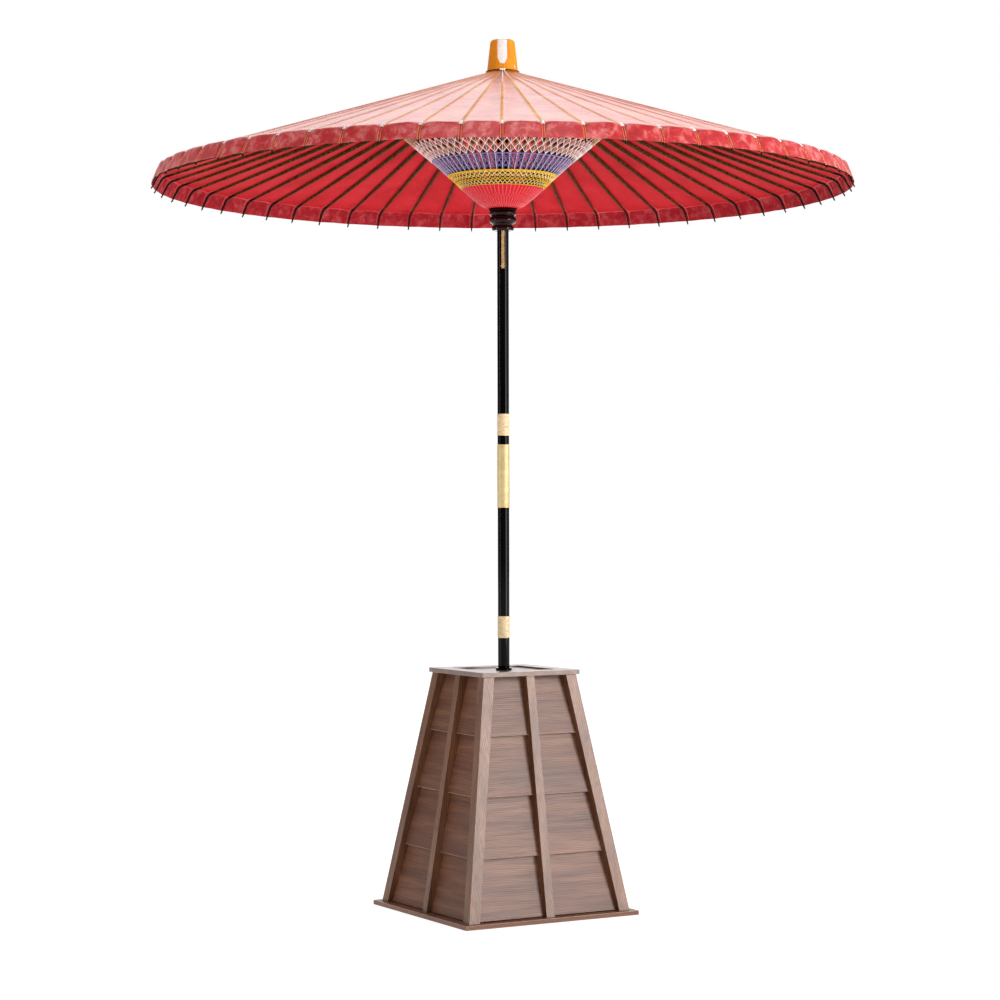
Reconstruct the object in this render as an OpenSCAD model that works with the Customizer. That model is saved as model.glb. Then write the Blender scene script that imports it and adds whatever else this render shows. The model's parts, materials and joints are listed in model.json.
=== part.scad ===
// A large oil paper sunshade umbrella for outdoor tea, with bent rib ends,
// on a two-part pole that stands in a weighted wooden base clad with lapped boards.
// Millimetres. Z is up, the ground is Z = 0 and the pole stands on the Z axis.

/* [Canopy] */
// Radius of the hem
canopy_r = 900; // [700:10:1080]
// Height of the point where the roof lines meet, above the ground
apex_z = 2172; // [1950:2:2500]
// Slope of the roof below horizontal, in degrees
roof_slope = 17.4; // [14:0.2:20]
// Height of the hem band below the bend in the ribs
hem_drop = 35; // [20:1:60]
// Outward run of the hem band
hem_run = 19; // [10:1:30]
// Thickness of the oiled paper
paper_t = 1; // [0.6:0.1:1.6]
// Radius of the hole in the paper, under the cap
paper_hole_r = 37.5; // [37:0.5:39]

/* [Ribs] */
// Ribs in each of the twelve groups, one of them the main rib
ribs_per_group = 5; // [3:2:5]
// Radius of the circle of rib pivots in the hub
rib_pivot_r = 30; // [28:0.5:32]
// Depth of a rib above its pivot line
rib_top = 8; // [6:0.5:10]
// Depth of a rib below its pivot line
rib_under = 2.2; // [1.5:0.1:3]
// Width of a rib at its middle
rib_w = 6.5; // [5:0.1:8]
// Width of a rib at its eye in the hub
rib_eye_w = 1.6; // [1.2:0.1:1.8]
// Width of a rib at its bend
rib_bend_w = 4; // [3:0.1:5]
// Depth of a rib at its bend
rib_bend_depth = 5; // [4:0.1:6]
// How far a rib's tip shows below the hem
rib_tip_out = 8.5; // [4:0.5:12]

/* [Struts] */
// Radius at which the struts meet the ribs
strut_rib_r = 328; // [280:2:380]
// Radius of the circle of strut pivots in the runner
strut_pivot_r = 33; // [32.5:0.1:33.5]
// Slope of the open struts above horizontal, in degrees
strut_slope = 40; // [34:0.5:46]
// Depth of a strut at its middle
strut_depth = 7; // [5:0.2:8]
// Width of a strut at its middle
strut_w = 5.4; // [4:0.1:6]
// Width of a strut at its eye in the runner
strut_eye_w = 2; // [1.6:0.1:2.2]
// Width of the tongue that enters the rib
tongue_w = 2.6; // [2:0.1:3]
// Diameter of the thread that is each strut's pivot in its rib
pivot_thread_d = 1.4; // [1:0.1:1.6]

/* [Thread web] */
// Inner radius of the web of threads on the struts
web_in_r = 56; // [50:1:70]
// Outer radius of the web of threads on the struts
web_out_r = 268; // [202:2:300]
// Thickness of the web's layer
web_t = 0.8; // [0.6:0.1:1.2]
// How far the web bulges down from the straight struts, near the runner
web_bulge = 11; // [0:0.5:14]
// Radius beyond which the web follows the straight struts
web_flat_r = 198; // [150:2:200]

/* [Hub and cap] */
// Outer radius of the hub
hub_r = 35; // [34:0.5:36]
// Height of the cap above the paper
cap_h = 84; // [60:1:100]
// Radius of the cap at its base
cap_base_r = 41.5; // [41:0.5:44]
// Radius of the cap at its top
cap_top_r = 31; // [28:0.5:36]
// Wall of the cap
cap_t = 1.5; // [1:0.1:2]
// Width of the notch in the front of the cap
cap_notch_w = 26; // [16:1:30]
// Width of the notch near its bottom
cap_notch_foot_w = 12; // [8:1:15]

/* [Runner] */
// Outer radius of the runner's rings
runner_r = 35; // [34.5:0.1:36]
// Radius of the runner's foot flange
runner_foot_r = 28.3; // [26:0.1:30]
// Height of the runner
runner_h = 65; // [60:1:80]

/* [Latch] */
// Length of the bamboo latch strip
latch_h = 97; // [80:1:120]
// Width of the latch strip
latch_w = 8; // [6:0.5:9]
// Thickness of the latch strip
latch_t = 3; // [2.4:0.1:3.4]
// How far the top of the latch stands out of the pole
latch_out = 4.5; // [3:0.1:5]
// Side that the latch and the cap's notch face, in degrees from +X
front_azimuth = 240; // [0:5:355]

/* [Pole] */
// Diameter of the pole
pole_d = 30; // [27:0.5:31]
// Height of the bottom of the joint sleeve
sleeve_z = 1037; // [900:1:1080]
// Length of the joint sleeve
sleeve_h = 163; // [120:1:180]
// Wall of the joint sleeve outside the pole
sleeve_out = 0.8; // [0.5:0.1:1.5]
// Depth of the step in the pole ends that the sleeve covers
sleeve_step = 1.2; // [0.8:0.1:1.6]
// Length of each rattan wrap
wrap_h = 56; // [40:1:70]
// Thickness of each rattan wrap
wrap_t = 1; // [0.8:0.1:1.5]
// Height of the lower rattan wrap
low_wrap_z = 701; // [680:1:760]
// Gap between the sleeve and the upper rattan wrap
wrap_gap = 23; // [15:1:35]

/* [Stand] */
// Side of the square bottom plate
base_w = 502; // [440:2:600]
// Side of the leaning frame at its bottom
frame_low_w = 467; // [420:1:560]
// Side of the leaning frame at its top
frame_top_w = 271; // [230:1:320]
// Side of the square top plate
top_w = 285; // [240:1:330]
// Thickness of the top and bottom plates
plate_t = 11.5; // [9:0.5:16]
// Height of the top of the stand
stand_h = 622; // [520:2:660]
// Width of a corner post on each face
post_w = 30; // [24:1:40]
// Width of a centre stile
stile_w = 23; // [16:1:30]
// Depth of a centre stile
stile_t = 26; // [20:1:30]
// Rows of lapped boards on each face
board_rows = 4; // [2:1:6]
// Thickness of a board at its lower edge
board_t = 9; // [7:0.5:11]
// Thickness of a board at its upper edge
board_top_t = 5; // [3:0.5:7]
// How far a board's lower edge lies behind the frame's face
board_set = 12.5; // [8:0.5:14]
// How far a board laps over the next one down
board_lap = 16; // [10:1:24]
// Width of the rails of the top plate
rail_w = 44; // [36:1:54]
// How far the top panel lies below the rails
panel_drop = 4.5; // [3:0.5:6]
// Radius of the collar round the pole
collar_r = 20.5; // [19:0.5:26]
// Side of the square ballast block
ballast_w = 240; // [200:5:320]
// Height of the ballast block
ballast_h = 40; // [30:1:60]

/* [Hidden] */
$fn = 96;
main_ribs = 12;
rib_pitch = 360 / (main_ribs * ribs_per_group);
side_count = (ribs_per_group - 1) / 2;

// Clearances
play = 0.4;       // between moving pieces
seat = 0.05;      // between pieces that seat on each other
eye_play = 0.1;   // radial, round a thread in its eye

// Roof lines in the plane of a rib: r is the radius, z the height
hem_turn = atan2(hem_drop, hem_run) - roof_slope;
hem_len = norm([hem_drop, hem_run]);
bend_r = canopy_r - hem_run;
bend_z = roof_z(bend_r);
hem_z = bend_z - hem_drop;
paper_gap = 0.3;
pivot_below_roof = rib_top + paper_gap + paper_t;
function roof_z(r) = apex_z - r * tan(roof_slope);
function pivot_line_z(r) = roof_z(r) - pivot_below_roof / cos(roof_slope);

// Pivots
rib_pivot_z = pivot_line_z(rib_pivot_r);
strut_rib_z = pivot_line_z(strut_rib_r);
strut_pivot_z = strut_rib_z - (strut_rib_r - strut_pivot_r) * tan(strut_slope);
strut_len = (strut_rib_r - strut_pivot_r) / cos(strut_slope);
rib_to_strut = (strut_rib_r - rib_pivot_r) / cos(roof_slope);
rib_to_bend = (bend_r - rib_pivot_r - pivot_below_roof * sin(roof_slope)) / cos(roof_slope);

// Ribs and struts
rib_eye_r = 3.4;
rib_full_at = 16;       // distance from the eye at which a rib has its full depth
rib_wide_at = 280;      // where a rib reaches its full width
rib_narrows_at = 520;   // where a rib starts to narrow again
rib_tip_depth = 3.2;
rib_tip_w = 3.4;
tongue_len = 52;
tongue_depth = 5;
tongue_slot_w = tongue_w + 0.6;
tongue_slot_top = rib_top - 3.5;
strut_eye_r = 2.3;
strut_rib_eye_r = 3;

// Thread rings
ring_thread_r = 0.5;

// Hub
pole_r = pole_d / 2;
hub_slot_w = rib_eye_w + play;
hub_slot_r = rib_pivot_r - 4.6;
hub_slot_top = rib_pivot_z + rib_top / cos(roof_slope) + 0.8;
hub_top_z = hub_slot_top + 7.5;
hub_drum_z = rib_pivot_z - 16;
hub_neck_z = hub_drum_z - 14;
hub_neck_r = hub_slot_r - 3;

// Cap
cap_z = roof_z(cap_base_r) + 2;
cap_top_z = cap_z + cap_h;
cap_core_z = hub_top_z + seat;
cap_notch_z = cap_z + 17;
cap_notch_taper = 17;   // height over which the notch draws in
cap_notch_round = 2.5;
binding_r = 1.1;

// Runner
runner_z = strut_pivot_z - 59.5;
runner_bore_r = pole_r + play;
runner_slot_w = strut_eye_w + 0.7;
runner_slot_r = strut_pivot_r - 4;
runner_slot_z = strut_pivot_z - 8.5;
relief_r = strut_pivot_r - 2;

// Latch
latch_top_z = runner_z - 1;
latch_z = latch_top_z - latch_h;
latch_foot_r = pole_r - latch_t + 0.4;
latch_pin_r = 0.8;
latch_pin_z = latch_z + 6;
latch_slot_w = latch_w + 1.4;
latch_slot_r = pole_r - 6.5;

// Pole
sleeve_top_z = sleeve_z + sleeve_h;
pole_split_z = sleeve_z + sleeve_h / 2;
sleeve_bore_r = pole_r - sleeve_step;
upper_wrap_z = sleeve_top_z + wrap_gap;
pole_top_z = hub_top_z + 20;
foot_z = plate_t + 1;
foot_h = 48;
foot_wall = 2;

// Stand
face_low = frame_low_w / 2;
face_top = frame_top_w / 2;
frame_h = stand_h - 2 * plate_t;
face_lean = atan2(face_low - face_top, frame_h);
face_len = norm([face_low - face_top, frame_h]);
board_pitch = (face_len - 1) / board_rows;
board_back_set = board_set + board_t + 1.2;
panel_w = top_w - 2 * rail_w;
panel_lip = 9;
panel_t = plate_t - panel_drop - 1;
panel_z = stand_h - panel_drop - panel_t;
tube_r = collar_r - 1;
socket_r = pole_r + play;
collar_top_z = stand_h + 2;
screw_r = 2.5;
screw_head_r = 5;
screw_at = face_low - post_w / 2 - 3;

function half_face(s) = face_low - s * sin(face_lean);

module at_front() { rotate([0, 0, front_azimuth]) children(); }

// Stands a piece drawn in a rib's plane at a pivot: local X runs along the piece
module in_plane(azimuth, r, z, rise) {
    rotate([0, 0, azimuth]) translate([r, 0, z]) rotate([0, -rise, 0]) children();
}

// A bore or a pin across a rib's plane
module cross(r, length) { rotate([90, 0, 0]) cylinder(r = r, h = length, center = true); }

// Side outline drawn in X and Z, given a thickness along Y
module side_plate(points, width) {
    rotate([90, 0, 0]) linear_extrude(width, center = true) polygon(points);
}

// Plan outline given by half widths along X, mirrored about the X axis
module plan_plate(halves, z0, z1) {
    n = len(halves);
    points = concat(halves, [for (i = [n - 1:-1:0]) [halves[i][0], -halves[i][1]]]);
    translate([0, 0, z0]) linear_extrude(z1 - z0) polygon(points);
}

module torus(ring_r, r, z) {
    rotate_extrude() translate([ring_r, z]) circle(r = r, $fn = 24);
}

module rib_outline() {
    top = rib_top;
    turn_in = tan(hem_turn / 2);
    corner = [rib_to_bend - (paper_t + paper_gap) * turn_in, top];
    under = [corner[0] - rib_bend_depth * turn_in, top - rib_bend_depth];
    tip_len = hem_len + rib_tip_out;
    tip = [corner[0] + tip_len * cos(hem_turn), top - tip_len * sin(hem_turn)];
    tip_under = [tip[0] - rib_tip_depth * sin(hem_turn), tip[1] - rib_tip_depth * cos(hem_turn)];
    side_plate([[0, rib_eye_r], [rib_full_at, top], corner, tip, tip_under, under,
                [rib_to_strut + 2 * tongue_len, 0.5 - rib_under], [rib_to_strut, -rib_under],
                [rib_full_at, -rib_under - 0.3], [0, -rib_eye_r]], 2 * rib_w);
    cross(rib_eye_r, 2 * rib_w);
}

module rib_body() {
    reach = rib_to_bend + hem_len + rib_tip_out;
    difference() {
        intersection() {
            rib_outline();
            plan_plate([[-rib_eye_r - 1, rib_eye_w / 2], [rib_full_at, rib_eye_w / 2 + 0.2],
                        [rib_wide_at, rib_w / 2], [rib_narrows_at, rib_w / 2],
                        [rib_to_bend, rib_bend_w / 2], [reach, rib_tip_w / 2]],
                       -2 * hem_drop, 2 * rib_top);
        }
        cross(ring_thread_r + eye_play, 3 * rib_w);
        translate([rib_to_strut - 7, -tongue_slot_w / 2, -3 * rib_under])
            cube([tongue_len + 14, tongue_slot_w, tongue_slot_top + 3 * rib_under]);
        translate([rib_to_strut, 0, 0]) cross(pivot_thread_d / 2 + 0.02, 3 * rib_w);
    }
}

// A rib, with the thread that is its strut's pivot
module rib(azimuth) {
    in_plane(azimuth, rib_pivot_r, rib_pivot_z, -roof_slope) {
        rib_body();
        translate([rib_to_strut, 0, 0]) cross(pivot_thread_d / 2, rib_w + 1.6);
    }
}

module strut_outline() {
    half = strut_depth / 2;
    step_at = strut_len - tongue_len;
    side_plate([[0, strut_eye_r], [60, half], [step_at, half], [step_at + 3, tongue_depth / 2],
                [strut_len, tongue_depth / 2], [strut_len, -tongue_depth / 2],
                [step_at + 3, -tongue_depth / 2], [step_at, -half], [60, -half],
                [0, -strut_eye_r]], 2 * strut_w);
    cross(strut_eye_r, 2 * strut_w);
    translate([strut_len, 0, 0]) cross(strut_rib_eye_r, 2 * strut_w);
}

// A strut, drawn from its eye in the runner to its tongue in the rib
module strut(azimuth) {
    step_at = strut_len - tongue_len;
    in_plane(azimuth, strut_pivot_r, strut_pivot_z, strut_slope) difference() {
        intersection() {
            strut_outline();
            plan_plate([[-strut_eye_r - 1, strut_eye_w / 2], [24, strut_eye_w / 2],
                        [110, strut_w * 0.4], [200, strut_w / 2], [step_at, strut_w / 2],
                        [step_at + 2, tongue_w / 2], [strut_len + 5, tongue_w / 2]],
                       -strut_depth, strut_depth);
        }
        cross(ring_thread_r + eye_play, 2 * strut_w);
        translate([strut_len, 0, 0]) cross(pivot_thread_d / 2 + eye_play, 2 * strut_w);
    }
}

// Azimuths of the ribs beside the main ones
function side_azimuths() = [
    for (k = [0:main_ribs - 1]) for (i = [-side_count:side_count])
        if (i != 0) k * 360 / main_ribs + i * rib_pitch];

function main_azimuth(k) = (k - 1) * 360 / main_ribs;

module main_rib(k) { color("saddlebrown") rib(main_azimuth(k)); }
module main_strut(k) { color("sienna") strut(main_azimuth(k)); }
module side_ribs() { color("saddlebrown") for (a = side_azimuths()) rib(a); }
module side_struts() { color("sienna") for (a = side_azimuths()) strut(a); }

// Oiled paper with the hem band that follows the bent rib ends
module canopy() {
    turn_in = paper_t * tan(hem_turn / 2);
    roof = [sin(roof_slope), cos(roof_slope)];
    hem = [sin(roof_slope + hem_turn), cos(roof_slope + hem_turn)];
    under = [bend_r, bend_z] - paper_t * roof
        - turn_in * [cos(roof_slope), -sin(roof_slope)];
    color("firebrick") rotate_extrude($fn = 180) polygon([
        [paper_hole_r, roof_z(paper_hole_r)], [bend_r, bend_z], [canopy_r, hem_z],
        [canopy_r, hem_z] - paper_t * hem, under,
        [paper_hole_r, roof_z(paper_hole_r) - paper_t / cos(roof_slope)]]);
}

// Cone of threads laced from strut to strut, just under them, and bulging near the runner.
// The bulge starts at the runner, is deepest a quarter of the way out and dies away smoothly.
module thread_web() {
    below = (strut_depth / 2 + 0.5) / cos(strut_slope);
    steps = 10;
    function share(r) = min(1, (r - strut_pivot_r) / (web_flat_r - strut_pivot_r));
    function sag(t) = web_bulge * t * pow(1 - t, 3) / (0.25 * pow(0.75, 3));
    function web_z(r) = strut_pivot_z - below + (r - strut_pivot_r) * tan(strut_slope) - sag(share(r));
    radii = concat([for (i = [0:steps]) web_in_r + (web_flat_r - web_in_r) * i / steps], [web_out_r]);
    color("palevioletred") rotate_extrude() polygon(concat(
        [for (r = radii) [r, web_z(r)]],
        [for (i = [len(radii) - 1:-1:0]) [radii[i], web_z(radii[i]) - web_t / cos(strut_slope)]]));
}

// Notched wooden hub that the ribs are threaded into
module hub() {
    color("saddlebrown") difference() {
        union() {
            translate([0, 0, hub_drum_z]) cylinder(r = hub_r, h = hub_top_z - hub_drum_z);
            translate([0, 0, hub_neck_z]) cylinder(r = hub_neck_r, h = hub_drum_z - hub_neck_z + 1);
        }
        translate([0, 0, hub_neck_z - 1]) cylinder(r = pole_r + seat, h = hub_top_z);
        for (i = [0:main_ribs * ribs_per_group - 1]) rotate([0, 0, i * rib_pitch])
            translate([hub_slot_r, -hub_slot_w / 2, hub_drum_z - 1])
                cube([hub_r, hub_slot_w, hub_slot_top - hub_drum_z + 1]);
        torus(rib_pivot_r, ring_thread_r + eye_play, rib_pivot_z);
    }
}

module hub_thread() { color("darkred") torus(rib_pivot_r, ring_thread_r, rib_pivot_z); }

// Section of the cap: a cone with a softly rounded top edge
module cap_section(inset) {
    shoulder = 4;
    r1 = cap_base_r - inset;
    r2 = cap_top_r - inset;
    top = cap_top_z - inset;
    polygon([[0, cap_z], [r1, cap_z], [r2 + 0.4, top - shoulder], [r2 - 1, top - shoulder / 3],
             [r2 - shoulder, top], [0, top]]);
}

// Outline of the notch in the cap's front: straight sides that draw in towards the bottom
module notch_outline() {
    side = cap_notch_w / 2;
    foot = cap_notch_foot_w / 2;
    polygon([[-side, cap_h], [-side, cap_notch_taper], [-foot, cap_notch_round], [-foot / 2, 0],
             [foot / 2, 0], [foot, cap_notch_round], [side, cap_notch_taper], [side, cap_h]]);
}

// Oiled paper cap over the hub, with a notch down its front
module cap() {
    color("darkorange") difference() {
        rotate_extrude() difference() {
            cap_section(0);
            cap_section(cap_t);
            translate([-1, cap_z - 1]) square([cap_base_r - cap_t + 1, 1.5]);
        }
        at_front() translate([0, 0, cap_notch_z]) rotate([90, 0, 90])
            linear_extrude(2 * cap_base_r) notch_outline();
    }
}

// Pale block on the pole's end that the cap is wrapped round
module cap_core() {
    color("seashell") difference() {
        rotate_extrude() intersection() {
            cap_section(cap_t + seat);
            translate([0, cap_core_z]) square([cap_base_r, cap_h]);
        }
        translate([0, 0, cap_core_z - 1]) cylinder(r = pole_r + seat, h = pole_top_z - cap_core_z + 2);
    }
}

module cap_binding() {
    color("saddlebrown") rotate_extrude()
        translate([cap_base_r + binding_r + seat, cap_z + binding_r]) circle(r = binding_r, $fn = 24);
}

// Lacquered runner, turned with two rings and a foot, notched for the struts
module runner_section() {
    foot_h = 12;
    ring_z = runner_slot_z - runner_z;
    polygon([[runner_bore_r, 0], [runner_foot_r - 1, 0], [runner_foot_r, 2],
             [runner_foot_r, foot_h - 2], [runner_foot_r - 2, foot_h], [runner_foot_r + 1, foot_h + 5],
             [runner_r - 1.5, foot_h + 9], [runner_r, foot_h + 14], [runner_r, ring_z - 18],
             [runner_r - 1, ring_z - 15.5], [runner_r - 2.5, ring_z - 13.5],
             [runner_r - 1, ring_z - 11.5], [runner_r, ring_z - 9], [runner_r, ring_z - 3],
             [runner_r - 1, ring_z - 0.5], [runner_r - 1.5, ring_z + 1],
             [runner_r, ring_z + 2], [runner_r, runner_h], [runner_bore_r, runner_h]]);
}

module runner() {
    color("maroon") difference() {
        translate([0, 0, runner_z]) rotate_extrude() runner_section();
        for (i = [0:main_ribs * ribs_per_group - 1]) rotate([0, 0, i * rib_pitch])
            translate([runner_slot_r, -runner_slot_w / 2, runner_slot_z])
                cube([runner_r, runner_slot_w, runner_h]);
        for (k = [1:main_ribs]) rotate([0, 0, main_azimuth(k)])
            translate([relief_r, -runner_slot_w / 2, runner_z + 10])
                cube([runner_r, runner_slot_w, runner_h]);
        torus(strut_pivot_r, ring_thread_r + eye_play, strut_pivot_z);
        at_front() translate([0, -latch_slot_w / 2, runner_z - 1])
            cube([pole_r + latch_out + 0.7, latch_slot_w, runner_h + 2]);
    }
}

module runner_thread() { color("darkred") torus(strut_pivot_r, ring_thread_r, strut_pivot_z); }

// Bamboo strip that springs out of the pole and holds the runner up
module latch_strip() {
    top_r = pole_r + latch_out;
    color("burlywood") at_front() difference() {
        side_plate([[latch_foot_r, latch_z], [latch_foot_r + latch_t, latch_z],
                    [top_r, latch_top_z], [top_r - latch_t, latch_top_z]], latch_w);
        translate([latch_foot_r + latch_t / 2, 0, latch_pin_z])
            cross(latch_pin_r + eye_play, 2 * latch_w);
    }
}

// Pin that holds the latch strip's foot, trimmed flush with the pole
module latch_pin() {
    color("peru") intersection() {
        at_front() translate([latch_foot_r + latch_t / 2, 0, latch_pin_z])
            cross(latch_pin_r, latch_slot_w + 4);
        translate([0, 0, latch_z]) cylinder(r = pole_r - seat, h = latch_h);
    }
}

module upper_pole() {
    color("black") difference() {
        union() {
            translate([0, 0, sleeve_top_z + 0.5])
                cylinder(r = pole_r, h = pole_top_z - sleeve_top_z - 0.5);
            translate([0, 0, pole_split_z + 0.5])
                cylinder(r = sleeve_bore_r - play / 2, h = sleeve_top_z - pole_split_z + 1);
        }
        at_front() translate([latch_slot_r, -latch_slot_w / 2, latch_z - 4])
            cube([pole_r, latch_slot_w, latch_h + 9]);
        at_front() translate([latch_foot_r + latch_t / 2, 0, latch_pin_z])
            cross(latch_pin_r + 0.02, latch_slot_w + 4.1);
    }
}

module wrap(z) {
    color("wheat") translate([0, 0, z]) difference() {
        cylinder(r = pole_r + seat + wrap_t, h = wrap_h);
        translate([0, 0, -1]) cylinder(r = pole_r + seat, h = wrap_h + 2);
    }
}

module upper_rattan() { wrap(upper_wrap_z); }
module lower_rattan() { wrap(low_wrap_z); }

// Gilt metal tube that joins the two halves of the pole
module joint_sleeve() {
    color("goldenrod") translate([0, 0, sleeve_z]) difference() {
        cylinder(r = pole_r + sleeve_out, h = sleeve_h);
        translate([0, 0, -1]) cylinder(r = sleeve_bore_r, h = sleeve_h + 2);
    }
}

module lower_pole() {
    color("black") {
        translate([0, 0, foot_z + foot_h + seat])
            cylinder(r = pole_r, h = sleeve_z - foot_z - foot_h - 2 * seat);
        translate([0, 0, foot_z + foot_wall + play])
            cylinder(r = pole_r - foot_wall - play / 2, h = foot_h);
        translate([0, 0, sleeve_z - 1])
            cylinder(r = sleeve_bore_r - seat, h = pole_split_z - sleeve_z + 1);
    }
}

// Brass ferrule under the pole, which turns and lifts in the stand
module pole_foot() {
    color("darkgoldenrod") translate([0, 0, foot_z]) difference() {
        cylinder(r = pole_r, h = foot_h);
        translate([0, 0, foot_wall]) cylinder(r = pole_r - foot_wall, h = foot_h);
    }
}

module bottom_plate() {
    color("saddlebrown") difference() {
        translate([-base_w / 2, -base_w / 2, 0]) cube([base_w, base_w, plate_t]);
        for (a = [0:90:270]) rotate([0, 0, a]) translate([screw_at, screw_at, -1]) {
            cylinder(r = screw_head_r + seat, h = 5);
            cylinder(r = screw_r + seat, h = 2 * plate_t);
        }
    }
}

// Leaning bar with a square or oblong section, from the bottom plate to the top plate
module leaning_bar(x0, x1, y0, y1, shift_x, shift_y) {
    hull() {
        translate([x0, y0, plate_t + seat]) cube([x1 - x0, y1 - y0, 0.01]);
        translate([x0 - shift_x, y0 - shift_y, stand_h - plate_t - seat - 0.01])
            cube([x1 - x0, y1 - y0, 0.01]);
    }
}

module corner_posts() {
    shift = face_low - face_top;
    color("sienna") difference() {
        for (a = [0:90:270]) rotate([0, 0, a])
            leaning_bar(face_low - post_w, face_low, face_low - post_w, face_low, shift, shift);
        for (a = [0:90:270]) rotate([0, 0, a]) translate([screw_at, screw_at, 0])
            cylinder(r = screw_r + seat, h = 50);
    }
}

module centre_stiles() {
    color("sienna") for (a = [0:90:270]) rotate([0, 0, a])
        leaning_bar(face_low - stile_t, face_low, -stile_w / 2, stile_w / 2,
                    face_low - face_top, 0);
}

module post_screws() {
    color("goldenrod") for (a = [0:90:270]) rotate([0, 0, a]) translate([screw_at, screw_at, 0]) {
        translate([0, 0, 1]) cylinder(r = screw_head_r, h = 3 - seat);
        translate([0, 0, 2]) cylinder(r = screw_r, h = 44);
    }
}

// One lapped board, thinner at its top: s0 is the distance of its lower edge up the sloping face
module board(side, s0) {
    s1 = min(s0 + board_pitch + board_lap, face_len + board_set * tan(face_lean) - 1);
    inner = stile_w / 2 + seat;
    gap = post_w + seat;
    low_x = half_face(s0) - gap;
    high_x = half_face(s1) - gap;
    lean_back = (board_back_set - board_set) / board_pitch;
    back = board_set + (s1 - s0) * lean_back;
    intersection() {
        rotate([90, 0, 90]) translate([0, 0, -face_low]) linear_extrude(2 * face_low)
            polygon([[board_set, s0], [board_set + board_t, s0], [back + board_top_t, s1],
                     [back, s1]]);
        translate([0, 100, 0]) rotate([90, 0, 0]) linear_extrude(200)
            polygon([[side * inner, s0], [side * low_x, s0], [side * high_x, s1], [side * inner, s1]]);
    }
}

// The boards of one face: front is -Y, then each turn is a quarter
module clapboards(turn) {
    color("peru") rotate([0, 0, turn]) translate([0, -face_low, plate_t])
        rotate([-face_lean, 0, 0])
            for (side = [-1, 1]) for (row = [0:board_rows - 1])
                board(side, 0.6 + (board_set + board_t) * tan(face_lean) + row * board_pitch);
}

module clapboards_front() { clapboards(0); }
module clapboards_right() { clapboards(90); }
module clapboards_back() { clapboards(180); }
module clapboards_left() { clapboards(270); }

// Square ring of rails, rebated to hold the top panel
module top_frame() {
    color("sienna") translate([0, 0, stand_h - plate_t]) difference() {
        translate([-top_w / 2, -top_w / 2, 0]) cube([top_w, top_w, plate_t]);
        translate([-panel_w / 2, -panel_w / 2, -1]) cube([panel_w, panel_w, plate_t + 2]);
        translate([-panel_w / 2 - panel_lip, -panel_w / 2 - panel_lip, -1])
            cube([panel_w + 2 * panel_lip, panel_w + 2 * panel_lip, panel_t + 2 + seat]);
    }
}

module top_panel() {
    side = panel_w + 2 * panel_lip - 2 * seat;
    color("peru") difference() {
        translate([-side / 2, -side / 2, panel_z]) cube([side, side, panel_t]);
        translate([0, 0, panel_z - 1]) cylinder(r = tube_r + seat, h = panel_t + 2);
    }
}

// Ring round the pole on the top panel
module pole_collar() {
    color("black") translate([0, 0, panel_z + panel_t + seat]) difference() {
        cylinder(r = collar_r, h = collar_top_z - panel_z - panel_t);
        translate([0, 0, -1]) cylinder(r = socket_r, h = collar_top_z);
    }
}

// Tube inside the stand that holds the pole upright
module socket_tube() {
    color("dimgray") translate([0, 0, plate_t + seat]) difference() {
        cylinder(r = tube_r, h = panel_z + panel_t - plate_t - seat);
        translate([0, 0, -1]) cylinder(r = socket_r, h = stand_h);
    }
}

module ballast_block() {
    color("dimgray") translate([0, 0, plate_t + seat]) difference() {
        translate([-ballast_w / 2, -ballast_w / 2, 0]) cube([ballast_w, ballast_w, ballast_h]);
        translate([0, 0, -1]) cylinder(r = tube_r + seat, h = ballast_h + 2);
    }
}

bottom_plate();
corner_posts();
centre_stiles();
clapboards_front();
clapboards_right();
clapboards_back();
clapboards_left();
top_frame();
top_panel();
pole_collar();
socket_tube();
ballast_block();
post_screws();
pole_foot();
lower_pole();
joint_sleeve();
lower_rattan();
upper_pole();
upper_rattan();
latch_pin();
hub();
hub_thread();
cap();
cap_core();
cap_binding();
canopy();
side_ribs();
side_struts();
thread_web();
latch_strip();
runner();
runner_thread();
main_rib(1);  // rib_01
main_rib(2);  // rib_02
main_rib(3);  // rib_03
main_rib(4);  // rib_04
main_rib(5);  // rib_05
main_rib(6);  // rib_06
main_rib(7);  // rib_07
main_rib(8);  // rib_08
main_rib(9);  // rib_09
main_rib(10);  // rib_10
main_rib(11);  // rib_11
main_rib(12);  // rib_12
main_strut(1);  // strut_01
main_strut(2);  // strut_02
main_strut(3);  // strut_03
main_strut(4);  // strut_04
main_strut(5);  // strut_05
main_strut(6);  // strut_06
main_strut(7);  // strut_07
main_strut(8);  // strut_08
main_strut(9);  // strut_09
main_strut(10);  // strut_10
main_strut(11);  // strut_11
main_strut(12);  // strut_12
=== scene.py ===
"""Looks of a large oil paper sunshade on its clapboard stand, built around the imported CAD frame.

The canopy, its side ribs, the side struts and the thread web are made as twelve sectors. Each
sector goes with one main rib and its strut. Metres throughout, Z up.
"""
import json
from math import atan2, cos, exp, hypot, pi, radians, sin, sqrt, tan, tau

import bmesh
import bpy
import numpy as np
from mathutils import Matrix, Vector, noise


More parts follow.
